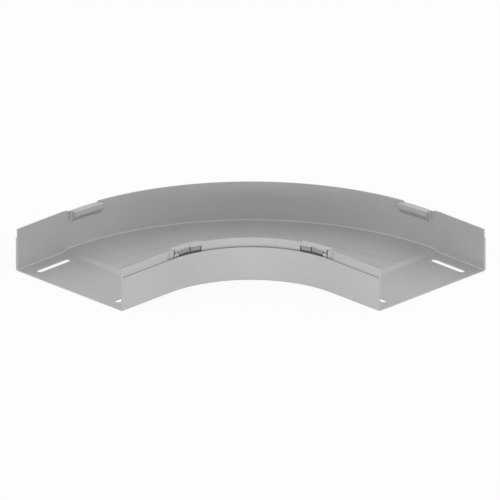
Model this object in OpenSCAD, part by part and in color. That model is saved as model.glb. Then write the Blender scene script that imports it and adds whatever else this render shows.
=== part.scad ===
// Horizontal 90 degree bend for a sheet metal cable tray, with a coupling section at each end.
// The two legs point along -X and -Y, and the arc between them bulges towards +X and +Y.

/* [Bend] */
// Radius of the inner side plate's outer face
inner_r = 150; // [120:1:260]
// Width over both side plates
overall_w = 201; // [150:1:400]
// Overall height of the side walls
wall_h = 60; // [56:1:85]
// Straight length of each coupling section
leg_len = 90; // [84:1:160]

/* [Sheet] */
// Thickness of the tray sheet
sheet_t = 1.5; // [1.2:0.05:1.8]
// Inside radius of the fold between the floor and the walls
fold_r = 1.2; // [1:0.1:3]
// How far the walls of the coupling sections are set outwards
side_joggle = 1.2; // [1.1:0.05:2]
// How far the floor of the coupling sections is set down
floor_joggle = 3.5; // [1.5:0.1:4]
// Where the joggle begins, past the start of the arc
joggle_in = 1.3; // [1:0.1:3]
// Where the joggle ends, in the straight leg
joggle_out = 5.5; // [3:0.1:8]

/* [Side plates] */
// Thickness of the side plates
plate_t = 1.5; // [1.2:0.05:1.8]
// Height of the side plates
plate_h = 47.6; // [46:0.2:48.4]
// Angle that the rounded foot turns under the floor
foot_angle = 50; // [30:1:60]
// Gap between a side plate and the coupling's wall
lap_gap = 0.25; // [0.15:0.05:0.4]

/* [Floor slots] */
// Width of a slot
slot_w = 8.5; // [5:0.5:10]
// From the start of the arc to a slot's near end
slot_start = 15.4; // [10:0.2:20]
// From a slot's far end to the end of the leg
slot_margin = 14.6; // [10:0.2:20]
// From the outer side plate's face to the middle of its slot
slot_outer_inset = 26.2; // [20:0.2:60]
// From the inner side plate's face to the middle of its slot
slot_inner_inset = 28.2; // [20:0.2:60]

/* [Floor grooves] */
// Distance between neighbouring grooves
groove_pitch = 26; // [15:0.5:40]
// Width of a groove
groove_w = 1; // [0.8:0.1:2]
// Depth of a groove
groove_depth = 0.3; // [0.2:0.05:0.8]
// From the start of the arc to the start of a groove
groove_start = 7; // [5:0.5:20]

/* [Pockets] */
// Length of a pocket along its inner face
pocket_len = 48.4; // [40:0.2:60]
// From the start of the arc to the pocket, along its inner face
pocket_start = 9.2; // [8.6:0.2:20]
// Depth of a pocket from the wall's outer face to the pocket's inner face
pocket_depth = 10; // [8.5:0.5:13]
// From the top of the wall down to the top of a pocket
pocket_drop = 1.8; // [0.5:0.1:2.5]
// Height of a pocket's upright inner face
pocket_face_h = 6.7; // [5.5:0.1:8]
// From the top of a pocket down to the foot of its bevel
pocket_h = 16.1; // [15.9:0.1:18]
// Bend radius at the pocket's end nearest the coupling
pocket_bend_r = 1.5; // [1:0.1:3]
// How far a pocket's far end runs on under the wall's full height
pocket_under = 3.5; // [2:0.1:6]
// Height of the lip that hangs from the pocket's top
lip_h = 3; // [2.8:0.05:3.5]
// Width of the notch in the middle of the lip
notch_w = 10.5; // [8:0.5:14]

/* [Clips] */
// Thickness of the spring clips
clip_t = 0.8; // [0.6:0.05:1]
// Height of a clip's leaf
clip_h = 9.7; // [9:0.1:9.9]
// Width of the catch in the middle of a clip
catch_w = 9; // [5:0.1:9.5]
// Gap between the catch and the underside of the pocket's top
catch_gap = 0.25; // [0.2:0.05:0.4]
// Step from the top of the leaf up to the hook of the catch
catch_step = 0.15; // [0.1:0.05:0.3]
// Gap between a clip and the pocket's ends
clip_gap = 0.5; // [0.4:0.1:1]
// Width of the slit beside the catch
slit_w = 1.2; // [0.8:0.1:2]
// Height of the slit, from the top of the leaf down
slit_h = 5.5; // [4:0.1:7]
// How far the pressed pads stand out of a clip
pad_t = 0.6; // [0.4:0.1:0.8]
// Height of a pressed pad
pad_h = 5.4; // [4:0.1:6]
// From the edge of the leaf to a pad
pad_inset = 1.5; // [1:0.1:2]

/* [Rivets] */
// Radius of the round lug that carries a clip
lug_r = 3.6; // [3.2:0.1:4.2]
// From the top of a pocket down to a rivet's middle
rivet_drop = 9.1; // [8.5:0.1:9.2]
// From the start of a pocket to its rivet
rivet_along = 4.5; // [4.4:0.1:6]
// Radius of a rivet's head
rivet_head_r = 3; // [2.6:0.1:3.1]
// Thickness of a rivet's head
rivet_head_t = 0.8; // [0.5:0.1:1]
// Radius of a rivet's shank
rivet_shank_r = 2; // [1.8:0.05:2.2]
// Radius of the hole through a rivet
rivet_hole_r = 1.2; // [1:0.05:1.5]
// Clearance of a rivet in its hole
rivet_clearance = 0.05; // [0.02:0.01:0.1]

/* [Hidden] */
$fn = 120;

INNER = 1;
OUTER = -1;
overcut = 1;
fold_steps = 8;
outer_r = inner_r + overall_w;
middle_r = inner_r + overall_w / 2;
centre_shift = (leg_len - outer_r) / 2;

// From a side plate's outer face to the outer face of the body's wall, in the coupling and in the arc
coupling_inset = plate_t + lap_gap;
arc_inset = coupling_inset + side_joggle;

// Heights worked out from the top of the wall
pocket_top = wall_h - pocket_drop;
pocket_foot = pocket_top - pocket_h;
pocket_corner = pocket_top - pocket_face_h;
catch_top = pocket_top - sheet_t - catch_gap;
clip_top = catch_top - clip_t - catch_step;
rivet_z = pocket_top - rivet_drop;

// The bevel's slope and the shift that keeps the sheet's thickness through it
bevel_rise = (pocket_corner - pocket_foot) / (pocket_depth - sheet_t);
bevel_shift = sheet_t * sqrt(1 + bevel_rise * bevel_rise);

galvanised = [0.74, 0.75, 0.76];
spring_steel = [0.55, 0.56, 0.57];
rivet_metal = [0.8, 0.8, 0.81];

// Radius of a face that lies depth inboard of the body wall's outer face in the arc
function wall_r(side, depth) =
    side == INNER ? inner_r + arc_inset + depth : outer_r - arc_inset - depth;

// Lengths along a pocket are measured on its inner face, and turned into thousandths of a degree
function along_angle(side, length) = round(length * 180000 / (PI * wall_r(side, pocket_depth))) / 1000;

// Points of a quarter or shorter turn, from angle a to angle b
function turn(cx, cz, r, a, b) =
    [for (i = [0:fold_steps]) let (t = a + (b - a) * i / fold_steps) [cx + r * cos(t), cz + r * sin(t)]];

function reversed(list) = [for (i = [len(list) - 1:-1:0]) list[i]];

function rectangle(near, far, foot, top) = [[near, foot], [far, foot], [far, top], [near, top]];

// One face of the folded sheet, from the inner wall's top round to the outer wall's top.
// The inset is the wall's distance from the side plate's outer face, and lift is the floor's height.
function channel_face(inset, lift, r, top) =
    let (a = inner_r + inset, b = outer_r - inset)
    concat(
        [[a, top]],
        turn(a + r, lift + r, r, 180, 270),
        turn(b - r, lift + r, r, 270, 360),
        [[b, top]]
    );

// The sheet's outside and inside faces. The share of the joggle is 0 in the coupling and 1 in the arc.
function outside_face(share) =
    channel_face(coupling_inset + share * side_joggle, share * floor_joggle, fold_r + sheet_t, wall_h);
function inside_face(share) =
    channel_face(coupling_inset + share * side_joggle + sheet_t, share * floor_joggle + sheet_t, fold_r,
        wall_h + overcut);
function face(is_outside, share) = is_outside ? outside_face(share) : inside_face(share);

// Draws its children in the second leg, which mirrors the first one
module second_leg() mirror([1, -1, 0]) children();

// Places the bend so that the origin is the middle of its footprint
module in_frame() translate([centre_shift, centre_shift, 0]) children();

// A ring sector round the arc's centre, from one length along a pocket to another
module pocket_sector(side, from, to, points) {
    start = along_angle(side, from);
    rotate_extrude(start = start, angle = along_angle(side, to) - start)
        polygon([for (p = points) [wall_r(side, p[0]), p[1]]]);
}

// Places its children on the wall's outer face, with X pointing inboard
module on_wall(side, along, depth) {
    rotate([0, 0, along_angle(side, along)])
        translate([wall_r(side, depth), 0, 0])
            mirror([side == INNER ? 0 : 1, 0, 0])
                children();
}

// A bore or shank through the wall, from one depth to another
module radial_cylinder(side, along, z, r, from, to) {
    on_wall(side, along, from)
        translate([0, 0, z])
            rotate([0, 90, 0])
                cylinder(r = r, h = to - from);
}

// Tray body

// The ramp runs on past the joggle, where it lies inside the arc's own form
ramp_overrun = 3;
ramp_end = joggle_in + ramp_overrun;
ramp_share = (joggle_out + ramp_end) / (joggle_out + joggle_in);

// The joggle's ramp as a skin over two sections
module ramp_form(is_outside) {
    sections = [
        for (p = face(is_outside, 0)) [p[0], -joggle_out, p[1]],
        for (p = face(is_outside, ramp_share)) [p[0], ramp_end, p[1]]
    ];
    n = len(sections) / 2;
    polyhedron(
        points = sections,
        faces = concat(
            [[for (i = [n - 1:-1:0]) i]],
            [[for (i = [0:n - 1]) n + i]],
            [for (i = [0:n - 1]) let (next = (i + 1) % n) [i, next, n + next, n + i]]
        )
    );
}

module leg_form(is_outside) {
    ramp_form(is_outside);
    translate([0, -joggle_out, 0])
        rotate([90, 0, 0])
            linear_extrude(height = leg_len - joggle_out + (is_outside ? 0 : overcut))
                polygon(face(is_outside, 0));
}

// The whole bend as a closed form, to the sheet's outside or inside face
module bend_form(is_outside) {
    rotate_extrude(angle = 90)
        polygon(face(is_outside, 1));
    leg_form(is_outside);
    second_leg()
        leg_form(is_outside);
}

module plain_channel() {
    difference() {
        bend_form(true);
        bend_form(false);
        floor_slots();
        second_leg()
            floor_slots();
        floor_grooves();
    }
}

module floor_slots() {
    floor_slot(inner_r + slot_inner_inset);
    floor_slot(outer_r - slot_outer_inset);
}

module floor_slot(x) {
    reach = (leg_len - slot_start - slot_margin - slot_w) / 2;
    middle = (leg_len + slot_start - slot_margin) / 2;
    translate([x, -middle, -overcut])
        linear_extrude(height = sheet_t + 2 * overcut) {
            square([slot_w, 2 * reach], center = true);
            for (end = [-reach, reach])
                translate([0, end])
                    circle(d = slot_w);
        }
}

// Fine pressed grooves in the arc's floor, one in the middle and one on each side of it
module floor_grooves() {
    start = groove_start * 180 / (PI * middle_r);
    floor_top = floor_joggle + sheet_t;
    for (offset = [-groove_pitch, 0, groove_pitch])
        rotate([0, 0, start])
            rotate_extrude(angle = 90 - 2 * start)
                translate([middle_r + offset - groove_w / 2, floor_top - groove_depth])
                    square([groove_w, groove_depth + overcut]);
}

// The pocket's outside form, as seen from inside the channel
pocket_skin = [
    [sheet_t / 2, pocket_foot - bevel_rise * sheet_t / 2],
    [pocket_depth, pocket_corner],
    [pocket_depth, pocket_top],
    [sheet_t / 2, pocket_top]
];

// The lip starts this far past the pocket's near end
lip_start = 0.5;

// The wall's top edge is cut down to the pocket's top from here, just past the joggle
top_cut_start = joggle_in + 1.5;

// The hollow behind it, one sheet in from the skin, with the lip left standing in the wall's plane
function bevel_inside(depth) = pocket_foot + bevel_rise * (depth - sheet_t) + bevel_shift;
pocket_hollow = [
    [-overcut, bevel_inside(-overcut)],
    [pocket_depth - sheet_t, bevel_inside(pocket_depth - sheet_t)],
    [pocket_depth - sheet_t, pocket_top - sheet_t],
    [sheet_t, pocket_top - sheet_t],
    [sheet_t, pocket_top - lip_h],
    [-overcut, pocket_top - lip_h]
];

// The bend at a pocket's near end turns round a point this deep in the channel
bend_depth = sheet_t + pocket_bend_r;
bend_steps = 4;

// The forms of a pocket begin this far ahead of its bend, where they are hidden or trimmed away
pocket_lead = 3;
pocket_end = pocket_start + pocket_len;

// Plan of the space ahead of a pocket, up to the bent sheet's near face or its far face.
// X is the depth and Y the length along the wall from the pocket's start.
function near_end_plan(shift, outer_x) =
    let (
        bend = [
            for (i = [0:bend_steps]) let (t = 180 - 90 * i / bend_steps, r = pocket_bend_r + shift)
            [bend_depth + r * cos(t), r * sin(t) - pocket_bend_r]
        ],
        first = 2 * bend[0] - bend[1],
        far_x = pocket_depth + overcut,
        far_y = -2 * pocket_lead - pocket_bend_r
    )
    concat(
        [[outer_x, first[1]], first],
        [for (i = [1:bend_steps]) bend[i]],
        [[far_x, shift], [far_x, far_y], [outer_x, far_y]]
    );

module near_end(side, shift, outer_x) {
    on_wall(side, pocket_start, 0)
        linear_extrude(height = wall_h + 2 * overcut)
            polygon(near_end_plan(shift, outer_x));
}

module pocket_form(side) {
    difference() {
        pocket_sector(side, pocket_start - pocket_bend_r - pocket_lead / 2, pocket_end, pocket_skin);
        near_end(side, 0, 0.8 * sheet_t);
    }
}

module pocket_cuts(side) {
    middle = pocket_start + pocket_len / 2;
    lip_foot = pocket_top - lip_h;
    lead_start = pocket_start - pocket_bend_r - pocket_lead;
    difference() {
        union() {
            pocket_sector(side, lead_start, pocket_end - sheet_t, pocket_hollow);
            pocket_sector(side, lead_start + overcut, pocket_start + sheet_t + lip_start,
                rectangle(-2 * overcut, bend_depth + lip_start, lip_foot - overcut, wall_h + overcut));
        }
        near_end(side, sheet_t, -3 * overcut);
    }
    pocket_sector(side, middle - notch_w / 2, middle + notch_w / 2,
        rectangle(-2 * overcut, sheet_t + overcut, lip_foot - overcut, pocket_top - sheet_t));
    pocket_sector(side, top_cut_start, pocket_end - pocket_under,
        rectangle(-2 * overcut, sheet_t + overcut, pocket_top, wall_h + 2 * overcut));
}

// A round-topped lug in the wall's plane, which carries the clip
module lug(side) {
    along = pocket_start + rivet_along;
    intersection() {
        pocket_sector(side, along - 2 * lug_r, along + 2 * lug_r, [
            [0, pocket_foot], [sheet_t, pocket_foot], [sheet_t, wall_h], [0, wall_h]
        ]);
        on_wall(side, along, -overcut)
            translate([0, 0, rivet_z])
                rotate([0, 90, 0])
                    linear_extrude(height = sheet_t + 2 * overcut) {
                        circle(r = lug_r);
                        translate([0, -lug_r])
                            square([wall_h, 2 * lug_r]);
                    }
    }
}

module rivet_bore(side) {
    radial_cylinder(side, pocket_start + rivet_along, rivet_z, rivet_shank_r + rivet_clearance,
        -overcut, sheet_t + clip_t + overcut);
}

// Draws its children once for each of the four pockets
module each_pocket() {
    for (side = [INNER, OUTER]) {
        let ($side = side) children();
        second_leg()
            let ($side = side) children();
    }
}

module tray_body() {
    color(galvanised)
        in_frame()
            difference() {
                union() {
                    difference() {
                        union() {
                            plain_channel();
                            each_pocket() pocket_form($side);
                        }
                        each_pocket() pocket_cuts($side);
                    }
                    each_pocket() lug($side);
                }
                each_pocket() rivet_bore($side);
            }
}

// Side plates

// A plate's section: upright, with a rounded foot that turns under the body's fold
function plate_section(side) =
    let (
        foot_r = fold_r + sheet_t,
        fold = coupling_inset + foot_r,
        reach = fold - foot_r,
        inside_r = fold - plate_t,
        end_r = reach * cos(foot_angle) + sqrt(foot_r * foot_r - pow(reach * sin(foot_angle), 2)),
        end_turn = atan2(end_r * sin(foot_angle), end_r * cos(foot_angle) - reach),
        points = concat(
            [[0, plate_h]],
            turn(foot_r, foot_r, foot_r, 180, 180 + end_turn),
            reversed(turn(fold, foot_r, inside_r, 180, 180 + foot_angle)),
            [[plate_t, plate_h]]
        )
    )
    [for (p = points) [side == INNER ? inner_r + p[0] : outer_r - p[0], p[1]]];

module side_plate(side) {
    color(galvanised)
        in_frame() {
            rotate_extrude(angle = 90)
                polygon(plate_section(side));
            plate_leg(side);
            second_leg()
                plate_leg(side);
        }
}

module plate_leg(side) {
    rotate([90, 0, 0])
        linear_extrude(height = leg_len)
            polygon(plate_section(side));
}

// Clips and rivets

module clip(side) {
    from = pocket_start + sheet_t + clip_gap;
    to = pocket_start + pocket_len - sheet_t - clip_gap;
    catch_from = pocket_start + (pocket_len - catch_w) / 2;
    catch_to = catch_from + catch_w;
    back = sheet_t + clip_t;
    front = sheet_t - clip_t;
    leaf_foot = clip_top - clip_h;
    color(spring_steel)
        difference() {
            union() {
                pocket_sector(side, from, to, [
                    [sheet_t, leaf_foot],
                    [back, leaf_foot],
                    [back, catch_top],
                    [front, catch_top],
                    [front, catch_top - clip_t],
                    [sheet_t, catch_top - clip_t]
                ]);
                clip_pad(side, pocket_start + rivet_along + lug_r + clip_gap, catch_from - clip_gap);
                clip_pad(side, catch_to + slit_w + clip_gap, to - pad_inset);
            }
            pocket_sector(side, from - overcut, catch_from,
                rectangle(0, back + overcut, clip_top, wall_h));
            pocket_sector(side, catch_to + slit_w / 2, to + overcut,
                rectangle(0, back + overcut, clip_top, wall_h));
            pocket_sector(side, catch_to, catch_to + slit_w,
                rectangle(-overcut, back + 2 * overcut, clip_top - slit_h, wall_h + overcut));
            rivet_bore(side);
        }
}

module clip_pad(side, from, to) {
    pocket_sector(side, from, to,
        rectangle(sheet_t - pad_t, sheet_t + clip_t / 2, clip_top - pad_inset - pad_h, clip_top - pad_inset));
}

module rivet(side) {
    along = pocket_start + rivet_along;
    back = sheet_t + clip_t;
    color(rivet_metal)
        difference() {
            union() {
                rivet_flange(side, along, -rivet_head_t, 0, rivet_head_r);
                radial_cylinder(side, along, rivet_z, rivet_shank_r, -rivet_head_t / 2, back + rivet_head_t / 2);
                rivet_flange(side, along, back, back + rivet_head_t, rivet_head_r - rivet_head_t / 2);
            }
            radial_cylinder(side, along, rivet_z, rivet_hole_r, -2 * overcut, back + 2 * overcut);
        }
}

// A rivet's head or clinched tail, which follows the curve that it bears on
module rivet_flange(side, along, near, far, r) {
    intersection() {
        pocket_sector(side, along - 2 * r, along + 2 * r, rectangle(near, far, rivet_z - 2 * r, rivet_z + 2 * r));
        radial_cylinder(side, along, rivet_z, r, near - overcut, far + overcut);
    }
}

module inner_side_plate() side_plate(INNER);
module outer_side_plate() side_plate(OUTER);
module inner_clip_1() in_frame() clip(INNER);
module inner_clip_2() in_frame() second_leg() clip(INNER);
module outer_clip_1() in_frame() clip(OUTER);
module outer_clip_2() in_frame() second_leg() clip(OUTER);
module inner_rivet_1() in_frame() rivet(INNER);
module inner_rivet_2() in_frame() second_leg() rivet(INNER);
module outer_rivet_1() in_frame() rivet(OUTER);
module outer_rivet_2() in_frame() second_leg() rivet(OUTER);

tray_body();
inner_side_plate();
outer_side_plate();
inner_clip_1();
inner_clip_2();
outer_clip_1();
outer_clip_2();
inner_rivet_1();
inner_rivet_2();
outer_rivet_1();
outer_rivet_2();
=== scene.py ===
import math

import bpy
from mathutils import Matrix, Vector

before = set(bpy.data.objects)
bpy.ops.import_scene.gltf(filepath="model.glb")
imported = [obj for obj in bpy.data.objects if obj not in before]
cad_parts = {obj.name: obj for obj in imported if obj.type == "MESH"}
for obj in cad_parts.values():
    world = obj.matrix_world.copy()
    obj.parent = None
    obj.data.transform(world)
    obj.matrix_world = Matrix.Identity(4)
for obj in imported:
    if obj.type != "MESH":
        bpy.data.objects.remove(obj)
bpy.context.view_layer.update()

WHITE = (1.0, 1.0, 1.0, 1.0)

# Camera: a parallel view from the mouth of the bend, fitted to lines of the photograph

ELEVATION = math.radians(22.62)
SCALE_PX_PER_M = 753.3
IMAGE_PX = 500.0
CAMERA_DISTANCE = 2.0
CAMERA_REACH = 20.0

# The arc's centre, and how far in front of it and to the right the camera's target lies

ARC_CENTRE = Vector((-0.1305, -0.1305, 0.0))
TARGET_FORWARD = 0.2551
TARGET_RIGHT = -0.0010

# Level directions along the bend's line of symmetry and across it

DIAGONAL = math.sqrt(0.5)
FORWARD = Vector((DIAGONAL, DIAGONAL, 0.0))
RIGHT = Vector((DIAGONAL, -DIAGONAL, 0.0))


def add_camera():
    data = bpy.data.cameras.new("photo_camera")
    data.type = "ORTHO"
    data.ortho_scale = IMAGE_PX / SCALE_PX_PER_M
    data.clip_end = CAMERA_REACH
    camera = bpy.data.objects.new("photo_camera", data)
    bpy.context.scene.collection.objects.link(camera)
    target = ARC_CENTRE + TARGET_FORWARD * FORWARD + TARGET_RIGHT * RIGHT
    look = math.cos(ELEVATION) * FORWARD - Vector((0.0, 0.0, math.sin(ELEVATION)))
    camera.location = target - CAMERA_DISTANCE * look
    camera.rotation_euler = look.to_track_quat("-Z", "Y").to_euler()
    bpy.context.scene.camera = camera


# Node helpers

def new_material(name):
    material = bpy.data.materials.new(name)
    material.use_nodes = True
    material.node_tree.nodes.clear()
    return material


def add_node(tree, kind, inputs=None, **values):
    """Adds a node, and sets its properties and the values of its named inputs."""
    node = tree.nodes.new(kind)
    for name, value in values.items():
        setattr(node, name, value)
    for name, value in (inputs or {}).items():
        node.inputs[name].default_value = value
    return node


def join(tree, source, target):
    tree.links.new(source, target)


def viewing_ray(tree):
    """Gives 1 for camera, glossy and transmission rays, and 0 for the rays that light the object."""
    path = add_node(tree, "ShaderNodeLightPath")
    either = add_node(tree, "ShaderNodeMath", operation="MAXIMUM")
    also = add_node(tree, "ShaderNodeMath", operation="MAXIMUM")
    join(tree, path.outputs["Is Camera Ray"], either.inputs[0])
    join(tree, path.outputs["Is Glossy Ray"], either.inputs[1])
    join(tree, either.outputs[0], also.inputs[0])
    join(tree, path.outputs["Is Transmission Ray"], also.inputs[1])
    return also.outputs[0]


# World: a white dome that is a little dimmer overhead than at the horizon

HORIZON_LEVEL = 0.98
ZENITH_LEVEL = 0.78


def add_world():
    world = bpy.data.worlds.new("studio")
    world.use_nodes = True
    bpy.context.scene.world = world
    tree = world.node_tree
    tree.nodes.clear()
    output = add_node(tree, "ShaderNodeOutputWorld")
    place = add_node(tree, "ShaderNodeTexCoord")
    split = add_node(tree, "ShaderNodeSeparateXYZ")
    level = add_node(tree, "ShaderNodeMapRange", {"To Min": HORIZON_LEVEL, "To Max": ZENITH_LEVEL})
    lit = add_node(tree, "ShaderNodeBackground", {"Color": WHITE})
    seen = add_node(tree, "ShaderNodeBackground", {"Color": WHITE, "Strength": 1.0})
    mix = add_node(tree, "ShaderNodeMixShader")
    join(tree, place.outputs["Generated"], split.inputs["Vector"])
    join(tree, split.outputs["Z"], level.inputs["Value"])
    join(tree, level.outputs["Result"], lit.inputs["Strength"])
    join(tree, viewing_ray(tree), mix.inputs["Fac"])
    join(tree, lit.outputs[0], mix.inputs[1])
    join(tree, seen.outputs[0], mix.inputs[2])
    join(tree, mix.outputs[0], output.inputs["Surface"])


# Lamps

LAMPS = {
    "left_softbox": {
        "place": (-1.8, 1.2, 0.75), "aim": (0.0, 0.0, 0.02), "width": 1.1, "height": 1.0, "watts": 5.0,
    },
    "right_softbox": {
        "place": (1.2, -1.8, 0.75), "aim": (0.0, 0.0, 0.02), "width": 1.1, "height": 1.0, "watts": 6.5,
    },
    "front_strip": {
        "place": (-1.7, -1.7, 0.2), "aim": (0.0, 0.0, 0.03), "width": 2.4, "height": 0.25, "watts": 8.0,
    },
}


def add_area_lamp(name, place, aim, width, height, watts):
    data = bpy.data.lights.new(name, "AREA")
    data.shape = "RECTANGLE"
    data.size = width
    data.size_y = height
    data.energy = watts
    lamp = bpy.data.objects.new(name, data)
    bpy.context.scene.collection.objects.link(lamp)
    lamp.location = place
    lamp.rotation_euler = (Vector(aim) - Vector(place)).to_track_quat("-Z", "Y").to_euler()


# Floor: it lies a little below the object, and a viewing ray sees a large share of plain white on it

FLOOR_SIZE = 6.0
FLOOR_DROP = 0.0005
FLOOR_PAINT = (0.9, 0.9, 0.9, 1.0)
FLOOR_LIFT = 0.9


def floor_material():
    material = new_material("floor_white")
    tree = material.node_tree
    output = add_node(tree, "ShaderNodeOutputMaterial")
    paint = add_node(tree, "ShaderNodeBsdfDiffuse", {"Color": FLOOR_PAINT})
    lift = add_node(tree, "ShaderNodeEmission", {"Strength": 1.0})
    part = add_node(tree, "ShaderNodeMath", operation="MULTIPLY")
    part.inputs[1].default_value = FLOOR_LIFT
    mix = add_node(tree, "ShaderNodeMixShader")
    join(tree, viewing_ray(tree), part.inputs[0])
    join(tree, part.outputs[0], mix.inputs["Fac"])
    join(tree, paint.outputs[0], mix.inputs[1])
    join(tree, lift.outputs[0], mix.inputs[2])
    join(tree, mix.outputs[0], output.inputs["Surface"])
    return material


def add_floor():
    half = FLOOR_SIZE / 2
    mesh = bpy.data.meshes.new("floor")
    corners = [(-half, -half, 0.0), (half, -half, 0.0), (half, half, 0.0), (-half, half, 0.0)]
    mesh.from_pydata(corners, [], [(0, 1, 2, 3)])
    floor = bpy.data.objects.new("floor", mesh)
    bpy.context.scene.collection.objects.link(floor)
    floor.location.z = -FLOOR_DROP
    mesh.materials.append(floor_material())


# Metals: scales are counts per metre, and the cells' share is how far they show through the clouds

CLOUD_SCALE = 14.0
CLOUD_DETAIL = 3.0
CELL_SHARE = 0.35
FINE_PER_CELL = 4.0
FINE_DETAIL = 4.0
TONE_START = 0.25
TONE_END = 0.75
BUMP_STRENGTH = 0.3
MM_PER_M = 1000.0


def metal(name, darkest, lightest, glossiest, roughest, metallic, cell_scale, bump_mm):
    """A zinc-like metal: small cells of tone and gloss over slow, faint clouds, with a fine bump."""
    material = new_material(name)
    tree = material.node_tree
    output = add_node(tree, "ShaderNodeOutputMaterial")
    shader = add_node(tree, "ShaderNodeBsdfPrincipled", {"Metallic": metallic})
    place = add_node(tree, "ShaderNodeTexCoord")
    clouds = add_node(tree, "ShaderNodeTexNoise", {"Scale": CLOUD_SCALE, "Detail": CLOUD_DETAIL})
    cells = add_node(tree, "ShaderNodeTexVoronoi", {"Scale": cell_scale}, feature="F1")
    fine = add_node(tree, "ShaderNodeTexNoise", {"Scale": FINE_PER_CELL * cell_scale, "Detail": FINE_DETAIL})
    for texture in (clouds, cells, fine):
        join(tree, place.outputs["Object"], texture.inputs["Vector"])

    grey_of_cell = add_node(tree, "ShaderNodeRGBToBW")
    blend = add_node(tree, "ShaderNodeMix", data_type="FLOAT")
    blend.inputs["Factor"].default_value = CELL_SHARE
    tone = add_node(tree, "ShaderNodeValToRGB")
    stops = tone.color_ramp.elements
    for element, position, colour in zip(stops, (TONE_START, TONE_END), (darkest, lightest)):
        element.position = position
        element.color = (*colour, 1.0)
    join(tree, cells.outputs["Color"], grey_of_cell.inputs["Color"])
    join(tree, clouds.outputs["Fac"], blend.inputs["A"])
    join(tree, grey_of_cell.outputs["Val"], blend.inputs["B"])
    join(tree, blend.outputs["Result"], tone.inputs["Fac"])
    join(tree, tone.outputs["Color"], shader.inputs["Base Color"])

    gloss = add_node(tree, "ShaderNodeMapRange", {"To Min": glossiest, "To Max": roughest})
    join(tree, grey_of_cell.outputs["Val"], gloss.inputs["Value"])
    join(tree, gloss.outputs["Result"], shader.inputs["Roughness"])

    bump = add_node(tree, "ShaderNodeBump", {"Strength": BUMP_STRENGTH, "Distance": bump_mm / MM_PER_M})
    join(tree, fine.outputs["Fac"], bump.inputs["Height"])
    join(tree, bump.outputs["Normal"], shader.inputs["Normal"])
    join(tree, shader.outputs["BSDF"], output.inputs["Surface"])
    return material


def dress(names, material):
    for name in names:
        node = bpy.data.objects[name]
        if not node.material_slots:
            node.data.materials.append(material)
        for slot in node.material_slots:
            slot.material = material


# The scene

bpy.context.scene.view_settings.view_transform = "Standard"
add_camera()
add_world()
for lamp_name, lamp_values in LAMPS.items():
    add_area_lamp(lamp_name, **lamp_values)
add_floor()

galvanised = metal(
    "galvanised_sheet",
    darkest=(0.482, 0.492, 0.492),
    lightest=(0.51, 0.52, 0.52),
    glossiest=0.42,
    roughest=0.58,
    metallic=0.6,
    cell_scale=260.0,
    bump_mm=0.02,
)
spring = metal(
    "spring_clip",
    darkest=(0.3, 0.305, 0.307),
    lightest=(0.35, 0.355, 0.357),
    glossiest=0.3,
    roughest=0.42,
    metallic=0.85,
    cell_scale=900.0,
    bump_mm=0.01,
)
rivets = metal(
    "rivet",
    darkest=(0.6, 0.6, 0.61),
    lightest=(0.7, 0.7, 0.71),
    glossiest=0.28,
    roughest=0.4,
    metallic=0.9,
    cell_scale=900.0,
    bump_mm=0.01,
)

dress(["tray_body", "inner_side_plate", "outer_side_plate"], galvanised)
dress(["inner_clip_1", "inner_clip_2", "outer_clip_1", "outer_clip_2"], spring)
dress(["inner_rivet_1", "inner_rivet_2", "outer_rivet_1", "outer_rivet_2"], rivets)
